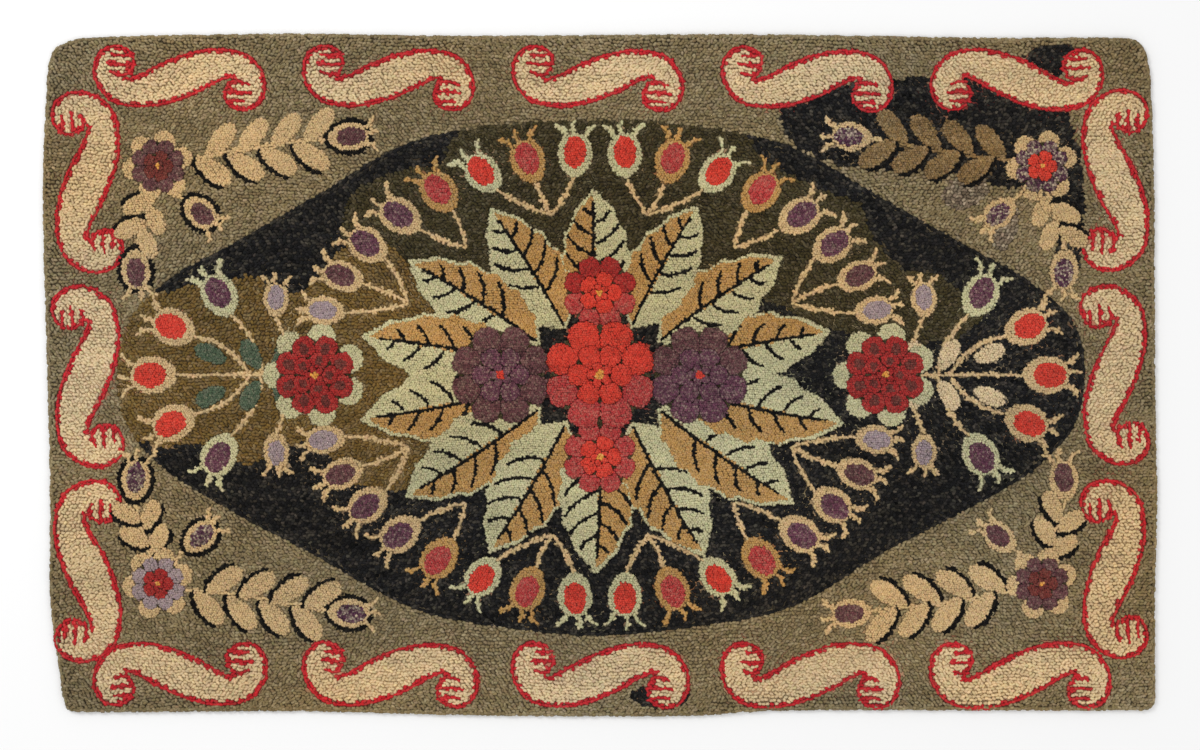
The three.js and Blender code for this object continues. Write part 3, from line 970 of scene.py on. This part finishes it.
def loop_tuft():
    """A bean of yarn with half length, half width and depth of one: a six-sided skirt under a short ridge."""
    bm = bmesh.new()
    quarter_turn = Matrix.Rotation(pi / 2, 3, "Z").to_4x4()
    bmesh.ops.create_circle(bm, cap_ends=True, segments=6, radius=1, matrix=quarter_turn)
    skirt = list(bm.verts)
    top = bmesh.ops.extrude_face_region(bm, geom=bm.faces[:])["geom"]
    top = [item for item in top if isinstance(item, bmesh.types.BMVert)]
    bmesh.ops.translate(bm, verts=skirt, vec=(0, 0, -1))
    ends = [(side, [vert for vert in top if vert.co.x * side > 0]) for side in (1, -1)]
    for side, end in ends:
        bmesh.ops.pointmerge(bm, verts=end, merge_co=(0.42 * side, 0, 0))
    bmesh.ops.dissolve_degenerate(bm, dist=1e-4, edges=bm.edges[:])
    bmesh.ops.recalc_face_normals(bm, faces=bm.faces[:])
    mesh = bpy.data.meshes.new("loop_tuft")
    bm.to_mesh(mesh)
    bm.free()
    return mesh


def clipped_tuft():
    """The cut end of a tuft: a low point on a square skirt."""
    bm = bmesh.new()
    bmesh.ops.create_cone(bm, cap_ends=True, cap_tris=False, segments=4, radius1=1, radius2=0, depth=1)
    bmesh.ops.translate(bm, verts=bm.verts, vec=(0, 0, -0.5))
    mesh = bpy.data.meshes.new("clipped_tuft")
    bm.to_mesh(mesh)
    bm.free()
    return mesh


def read(items, name, kind, width=1):
    values = np.empty(len(items) * width, kind)
    items.foreach_get(name, values)
    return values.reshape(-1, width) if width > 1 else values


def copies(name, pattern, points):
    """A mesh of many copies of a pattern mesh. points[i] are the vertices of copy i."""
    count, corners = len(points), read(pattern.loops, "vertex_index", np.int32)
    starts = read(pattern.polygons, "loop_start", np.int32)
    shift = np.arange(count)[:, None]
    mesh = bpy.data.meshes.new(name)
    mesh.vertices.add(count * len(pattern.vertices))
    mesh.vertices.foreach_set("co", points.astype(np.float32).ravel())
    mesh.loops.add(count * len(corners))
    mesh.loops.foreach_set("vertex_index", (corners + shift * len(pattern.vertices)).astype(np.int32).ravel())
    mesh.polygons.add(count * len(starts))
    mesh.polygons.foreach_set("loop_start", (starts + shift * len(corners)).astype(np.int32).ravel())
    mesh.polygons.foreach_set("use_smooth", np.ones(count * len(starts), bool))
    mesh.update(calc_edges=True)
    mesh.validate()
    return mesh


def paint(mesh, colour, height):
    """Keeps a colour and a height for every vertex, for the material to read. The wool material turns a low height
    into painted shade.
    """
    rgba = np.column_stack([colour, np.ones(len(colour))]).astype(np.float32)
    mesh.attributes.new("dye", "FLOAT_COLOR", "POINT").data.foreach_set("color", rgba.ravel())
    mesh.attributes.new("height", "FLOAT", "POINT").data.foreach_set("value", np.asarray(height, np.float32))


def lay_out(mesh, plan):
    """Gives the mesh its own flat layout. plan has a place on the rug, in metres, for each face corner."""
    layer = mesh.uv_layers.new(name=BAKE_MAP)
    share = plan / (RUG_SIZE * MM * 1.02) + 0.5
    layer.uv.foreach_set("vector", share.astype(np.float32).ravel())


def add_piece(name, mesh, finish):
    piece = bpy.data.objects.new(name, mesh)
    mesh.materials.append(finish)
    bpy.context.scene.collection.objects.link(piece)
    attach(piece, BODY)
    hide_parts(RUG_NODE)
    return piece


SKIRT = {False: 1.6, True: 2.1}
TUFT_DEPTH = {False: 2.6, True: 1.6}
SHRUNK = 0.7
LOWEST = 0.3


def hook(name, keep, finish, seed):
    """Makes one piece of pile from the tufts that keep picks out."""
    sizes = bpy.context.scene.rug_sizes
    tufts = all_tufts()
    tufts = Tufts(*(column[keep(tufts)] for column in tufts))
    count, rng = len(tufts.place), np.random.default_rng(seed)
    if not count:
        raise RuntimeError(f"{name}: no tufts to hook")
    fine = bool(tufts.fine[0])
    step = (sizes.tuft_length, sizes.tuft_spacing) if fine else (sizes.loop_length, sizes.loop_spacing)
    reach = np.array(step) * SKIRT[fine] / 2 * rng.uniform(0.92, 1.1, (count, 2))
    depth = np.full(count, TUFT_DEPTH[fine] * MM)
    top = sizes.ground_height + tufts.top * MM + rng.uniform(-1, 1, count) * sizes.unevenness
    top += patchy(tufts.place, 120, 90, 17) * sizes.unevenness
    slope = tufts.lean / np.maximum(np.hypot(*tufts.lean.T) / STEEPEST, 1)[:, None]
    rim_row = np.hypot(*tufts.lean.T) > 2 * STEEPEST
    slope[rim_row] = tufts.lean[rim_row]
    normal = np.column_stack([-slope + rng.normal(0, 0.06, (count, 2)), np.ones(count)])
    normal /= np.linalg.norm(normal, axis=1)[:, None]
    along = np.column_stack([np.cos(tufts.turn), np.sin(tufts.turn), np.zeros(count)])
    along -= normal * np.sum(along * normal, axis=1)[:, None]
    along /= np.linalg.norm(along, axis=1)[:, None]
    across = np.cross(normal, along)
    centre = np.column_stack([tufts.place * MM, top])
    pattern = clipped_tuft() if fine else loop_tuft()
    local = read(pattern.vertices, "co", np.float32, 3)
    shape = local[None] * np.column_stack([reach, depth])[:, None]
    shape[:, :, :2] *= rng.uniform(0.9, 1.1, (count, len(local), 1))
    points = centre[:, None] + np.einsum("nvk,nkc->nvc", shape, np.stack([along, across, normal], axis=1))
    points[:, :, 2] = np.maximum(points[:, :, 2], LOWEST * MM)
    mesh = copies(name, pattern, points)
    colour = dyed(tufts.place, tufts.dye, rng)
    # The height runs from the foot of each tuft (0) to its top (1); the wool material paints shade on the low part
    paint(mesh, np.repeat(colour, len(local), axis=0), np.tile(local[:, 2] + 1, count))
    corners = read(pattern.loops, "vertex_index", np.int32)
    sides = [face.loop_total for face in pattern.polygons]
    downward = np.repeat([face.normal.z < -0.5 for face in pattern.polygons], sides)
    shrink = np.where(downward, 0, SHRUNK)[None, :, None]
    plan = centre[:, None, :2] + (points[:, corners, :2] - centre[:, None, :2]) * shrink
    lay_out(mesh, plan.reshape(-1, 2))
    bpy.data.meshes.remove(pattern)
    return add_piece(name, mesh, finish)


def rim_reach(turn):
    """How far the rug's edge lies from its middle at each angle."""
    rim = rim_loop()
    angle = np.arctan2(rim[:, 1], rim[:, 0])
    order = np.argsort(angle)
    return np.interp(turn, angle[order], np.hypot(*rim[order].T), period=2 * pi)


# The cloth ring by ring from its hem's edge inwards, a grid step apart: inset from the rug's edge, and
# height
ClothRing = namedtuple("ClothRing", "inset height")


def cloth_rings(hem):
    return [
        ClothRing(hem, 0.7),
        ClothRing(5.6, 0.7),
        ClothRing(4.2, 1.0),
        ClothRing(3.6, 1.6),
        ClothRing(4.2, 2.2),
        ClothRing(5.6, 2.5),
        ClothRing(hem * 1.2, 1.8),
        ClothRing(hem * 2.2, 0.9),
    ]


def spread_over_rug(bm, columns, rows, rings):
    """Moves a flat grid's vertices onto the rug, in metres, so that its rings follow the rug's edge."""
    half = np.array([vert.co for vert in bm.verts])[:, :2]
    half /= np.abs(half).max(0)
    steps = ((1 - np.abs(half)) * (columns / 2, rows / 2)).min(1)
    half /= 1 - 2 * np.minimum(steps, len(rings) - 1)[:, None] / (columns, rows)
    share = np.abs(half).max(1)
    box = half / np.maximum(share, 1e-6)[:, None] * RUG_SIZE / 2
    bearing = np.arctan2(box[:, 1], box[:, 0])
    edge = box / np.maximum(np.hypot(*box.T), 1e-6)[:, None] * rim_reach(bearing)[:, None]
    ring = np.arange(len(rings))
    inset_here = np.interp(steps, ring, [ring.inset for ring in rings])
    place = edge * (1 - inset_here[:, None] / (RUG_SIZE / 2)) * share[:, None]
    height = np.interp(steps, ring, [ring.height for ring in rings])
    for vert, (x, y), z in zip(bm.verts, place, height):
        vert.co = Vector((x, y, z)) * MM
    bmesh.ops.recalc_face_normals(bm, faces=bm.faces[:])


def grid_mesh(columns, rows):
    bm = bmesh.new()
    bmesh.ops.create_grid(bm, x_segments=columns, y_segments=rows, size=1)
    return bm


def two_sided_plan(mesh):
    """A flat layout with the faces that look up on one half and those that look down on the other."""
    corners = read(mesh.loops, "vertex_index", np.int32)
    place = read(mesh.vertices, "co", np.float32, 3)[corners, :2].astype(float)
    lengths = read(mesh.polygons, "loop_total", np.int32)
    upward = np.repeat(read(mesh.polygons, "normal", np.float32, 3)[:, 2] > 0, lengths)
    place[:, 0] = place[:, 0] / 2 + np.where(upward, 1, -1) * RUG_SIZE[0] * MM / 4
    return place


def nearest_colours(points, cell=8):
    """The mean wool colour near each point, as it shows from the back, and the lowest pile there."""
    tufts = all_tufts()
    shape = tuple((RUG_SIZE / cell).astype(int) + 4)
    total, count = np.zeros((*shape, 3)), np.zeros(shape)
    lowest = np.full(shape, 99.0)

    def cells(at):
        index = ((at + RUG_SIZE / 2) / cell + 1).astype(int)
        return tuple(np.clip(index, 0, np.array(shape) - 1).T)

    at = cells(tufts.place)
    np.add.at(total, at, dyed(tufts.place, tufts.dye, np.random.default_rng(2)))
    np.add.at(count, at, 1)
    bottom = tufts.top - np.where(tufts.fine, TUFT_DEPTH[True], TUFT_DEPTH[False])
    upright = np.hypot(*tufts.lean.T) < 2
    np.minimum.at(lowest, tuple(axis[upright] for axis in at), bottom[upright])
    near, around = cells(points), [(x, y) for x in (-1, 0, 1) for y in (-1, 0, 1)]
    colour, weight, low = 0, 0, np.full(len(points), 99.0)
    for x, y in around:
        cell_at = (np.clip(near[0] + x, 0, shape[0] - 1), np.clip(near[1] + y, 0, shape[1] - 1))
        colour, weight = colour + total[cell_at], weight + count[cell_at]
        low = np.minimum(low, lowest[cell_at])
    return colour / np.maximum(weight, 1)[:, None], np.where(low > 50, -5, low)


# The pieces

CLOTH_GRID, ROOTS_GRID = (112, 70), (96, 60)
ROOTS_BASE, ROOTS_EDGE, ROOTS_BELOW, ROOTS_SHADE = 3.2, 3.6, 0.1, 0.5


def build_foundation():
    """Cloth under the whole rug, with its edge turned under as a hem, and the roots of the pile on it."""
    sizes, dyes = bpy.context.scene.rug_sizes, bpy.context.scene.rug_dyes
    bm = grid_mesh(*CLOTH_GRID)
    spread_over_rug(bm, *CLOTH_GRID, cloth_rings(sizes.hem_width / MM))
    bmesh.ops.solidify(bm, geom=bm.faces[:], thickness=sizes.cloth_thickness)
    mesh = bpy.data.meshes.new("foundation")
    bm.to_mesh(mesh)
    bm.free()
    vertices = read(mesh.vertices, "co", np.float32, 3)
    vertices[:, 2] += 0.3 * MM - vertices[:, 2].min()
    mesh.vertices.foreach_set("co", vertices.ravel())
    mesh.update()
    colour, _ = nearest_colours(vertices[:, :2] / MM)
    paint(mesh, colour, np.zeros(len(vertices)))
    lay_out(mesh, two_sided_plan(mesh))
    piece = add_piece("foundation", mesh, material("burlap", burlap, tuple(dyes.cloth)))
    flat = RUG_SIZE * MM + 2 * (sizes.hem_width - 3 * MM)


def build_roots():
    """The close mass of wool between the cloth and the tops of the tufts."""
    bm = grid_mesh(*ROOTS_GRID)
    spread_over_rug(bm, *ROOTS_GRID, [ClothRing(5.0, ROOTS_EDGE), ClothRing(9.0, ROOTS_EDGE)])
    ground = bpy.context.scene.rug_sizes.ground_height / MM
    low = nearest_colours(np.array([vert.co for vert in bm.verts])[:, :2] / MM)[1] + ground - ROOTS_BELOW
    for vert, height in zip(bm.verts, low):
        if not vert.is_boundary:
            vert.co.z = max(height, ROOTS_EDGE) * MM
    base = bmesh.ops.extrude_face_region(bm, geom=bm.faces[:])["geom"]
    for vert in base:
        if isinstance(vert, bmesh.types.BMVert):
            vert.co.z = ROOTS_BASE * MM
    bmesh.ops.recalc_face_normals(bm, faces=bm.faces[:])
    mesh = bpy.data.meshes.new("pile_roots")
    bm.to_mesh(mesh)
    bm.free()
    vertices = read(mesh.vertices, "co", np.float32, 3)
    colour, _ = nearest_colours(vertices[:, :2] / MM)
    # The roots take a middling height, so the wool material gives them half of its painted shade between tufts
    paint(mesh, colour, np.full(len(vertices), ROOTS_SHADE))
    lay_out(mesh, two_sided_plan(mesh))
    add_piece("pile_roots", mesh, looped_wool())


def looped_wool():
    # 900 is the fibre scale, 0.2 the strength of the painted shade between tufts, 0.02 the sheen
    return material("looped_wool", wool, 900, 0.2, 0.02)


def clipped_wool():
    # 1300 is the fibre scale, 0.16 the strength of the painted shade between tufts, 0.03 the sheen
    return material("clipped_wool", wool, 1300, 0.16, 0.03)


GROUND_HALVES = {"ground_pile_left": -1, "ground_pile_right": 1}
WORKED_PILE = ("black_pile", "brown_pile", "scroll_pile", "leaf_pile", "vein_pile", "rose_pile", "bud_pile",
               "stem_pile", "spray_pile")
CLIPPED = ("leaf_pile", "rose_pile", "bud_pile", "spray_pile")


def build_ground():
    for seed, (name, side) in enumerate(GROUND_HALVES.items()):
        hook(name, lambda tufts: (tufts.piece == PLAIN) & (tufts.place[:, 0] * side > 0), looped_wool(), seed)


def build_pile(name):
    finish = clipped_wool() if name in CLIPPED else looped_wool()
    hook(name, lambda tufts: tufts.piece == name, finish, 10 + WORKED_PILE.index(name))


CAMERA_HEIGHT = 2.6
VIEW_WIDTH = 1.667
SENSOR_WIDTH = 36
FLOOR_SIZE = 30


def build_stage():
    """Pale floor, soft studio light and the camera straight above the rug."""
    scene = bpy.context.scene
    bm = bmesh.new()
    bmesh.ops.create_grid(bm, x_segments=1, y_segments=1, size=FLOOR_SIZE / 2)
    mesh = bpy.data.meshes.new("floor")
    bm.to_mesh(mesh)
    bm.free()
    floor = bpy.data.objects.new("floor", mesh)
    shader = Shader("pale_floor")
    surface = shader.add("ShaderNodeBsdfDiffuse", None, {"Color": (0.93, 0.93, 0.93, 1)})
    shader.add("ShaderNodeOutputMaterial", None, {"Surface": surface})
    mesh.materials.append(shader.material)
    scene.collection.objects.link(floor)
    floor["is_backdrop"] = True

    for name, place, size, power in (
        ("key_light", (-2.2, 1.9, 2.9), 1.4, 62),
        ("fill_light", (2.6, -1.6, 3.2), 2.6, 26),
    ):
        lamp = bpy.data.lights.new(name, "AREA")
        lamp.size, lamp.energy = size, power
        light = bpy.data.objects.new(name, lamp)
        light.location = place
        light.rotation_euler = (-Vector(place)).to_track_quat("-Z", "Y").to_euler()
        scene.collection.objects.link(light)

    world = bpy.data.worlds.new("studio")
    world.use_nodes = True
    background = world.node_tree.nodes["Background"]
    background.inputs["Color"].default_value = (1, 1, 1, 1)
    background.inputs["Strength"].default_value = 0.72
    scene.world = world
    scene.view_settings.view_transform = "Standard"

    data = bpy.data.cameras.new("camera")
    data.sensor_width = SENSOR_WIDTH
    data.lens = SENSOR_WIDTH / 2 / (VIEW_WIDTH / 2 / CAMERA_HEIGHT)
    camera = bpy.data.objects.new("camera", data)
    camera.location = (0, 0, CAMERA_HEIGHT + bpy.context.scene.rug_sizes.ground_height)
    scene.collection.objects.link(camera)
    scene.camera = camera


# Operators, panel and registration

class RUG_OT_ground_pile(Operator):
    """Hook the plain olive ground, with the rows that roll over the edge"""
    bl_idname = "rug.ground_pile"
    bl_label = "Ground Pile"

    def execute(self, context):
        build_ground()
        return {"FINISHED"}


class RUG_OT_field_pile(Operator):
    """Hook the dark lozenge, its brown ends and the dark patch behind one spray"""
    bl_idname = "rug.field_pile"
    bl_label = "Field Pile"

    def execute(self, context):
        build_pile("black_pile")
        build_pile("brown_pile")
        return {"FINISHED"}


class RUG_OT_scroll_pile(Operator):
    """Hook the scrolls of the border"""
    bl_idname = "rug.scroll_pile"
    bl_label = "Scroll Pile"

    def execute(self, context):
        build_pile("scroll_pile")
        return {"FINISHED"}


class RUG_OT_leaf_pile(Operator):
    """Hook the wreath of toothed leaves, with the black veins"""
    bl_idname = "rug.leaf_pile"
    bl_label = "Leaf Pile"

    def execute(self, context):
        build_pile("leaf_pile")
        build_pile("vein_pile")
        return {"FINISHED"}


class RUG_OT_rose_pile(Operator):
    """Hook and clip the raised roses"""
    bl_idname = "rug.rose_pile"
    bl_label = "Rose Pile"

    def execute(self, context):
        build_pile("rose_pile")
        return {"FINISHED"}


class RUG_OT_bud_pile(Operator):
    """Hook the buds and their stems"""
    bl_idname = "rug.bud_pile"
    bl_label = "Bud Pile"

    def execute(self, context):
        build_pile("bud_pile")
        build_pile("stem_pile")
        return {"FINISHED"}


class RUG_OT_spray_pile(Operator):
    """Hook the plain leaves of the corner and side sprays"""
    bl_idname = "rug.spray_pile"
    bl_label = "Spray Pile"

    def execute(self, context):
        build_pile("spray_pile")
        return {"FINISHED"}


class RUG_OT_foundation(Operator):
    """Lay the foundation cloth with its hem, and the roots of the pile on it"""
    bl_idname = "rug.foundation"
    bl_label = "Foundation"

    def execute(self, context):
        build_roots()
        build_foundation()
        return {"FINISHED"}


class RUG_OT_stage(Operator):
    """Set up the floor, the lights and the camera"""
    bl_idname = "rug.stage"
    bl_label = "Stage"

    def execute(self, context):
        build_stage()
        return {"FINISHED"}


STEPS = (RUG_OT_ground_pile, RUG_OT_field_pile, RUG_OT_scroll_pile, RUG_OT_leaf_pile, RUG_OT_rose_pile,
         RUG_OT_bud_pile, RUG_OT_spray_pile, RUG_OT_foundation, RUG_OT_stage)


class RUG_PT_panel(Panel):
    """Sizes, dyes and building steps of the hooked rug"""
    bl_idname = "RUG_PT_panel"
    bl_label = "Hooked Rug"
    bl_space_type = "VIEW_3D"
    bl_region_type = "UI"
    bl_category = "Hooked Rug"

    def draw(self, context):
        for group in (context.scene.rug_sizes, context.scene.rug_dyes):
            box = self.layout.box()
            for name in group.__annotations__:
                box.prop(group, name)
        for step in STEPS:
            self.layout.operator(step.bl_idname)


CLASSES = (RugSizes, WoolDyes, *STEPS, RUG_PT_panel)


def register():
    for each in CLASSES:
        bpy.utils.register_class(each)
    bpy.types.Scene.rug_sizes = PointerProperty(type=RugSizes)
    bpy.types.Scene.rug_dyes = PointerProperty(type=WoolDyes)


def unregister():
    del bpy.types.Scene.rug_sizes, bpy.types.Scene.rug_dyes
    for each in reversed(CLASSES):
        bpy.utils.unregister_class(each)


def main():
    register()
    for step in STEPS:
        group, name = step.bl_idname.split(".")
        getattr(getattr(bpy.ops, group), name)()
    visual = [list(corner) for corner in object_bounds()]
    {"cad": [list(CAD_LOW), list(CAD_HIGH)], "visual": visual}


if __name__ == "__main__":
    main()
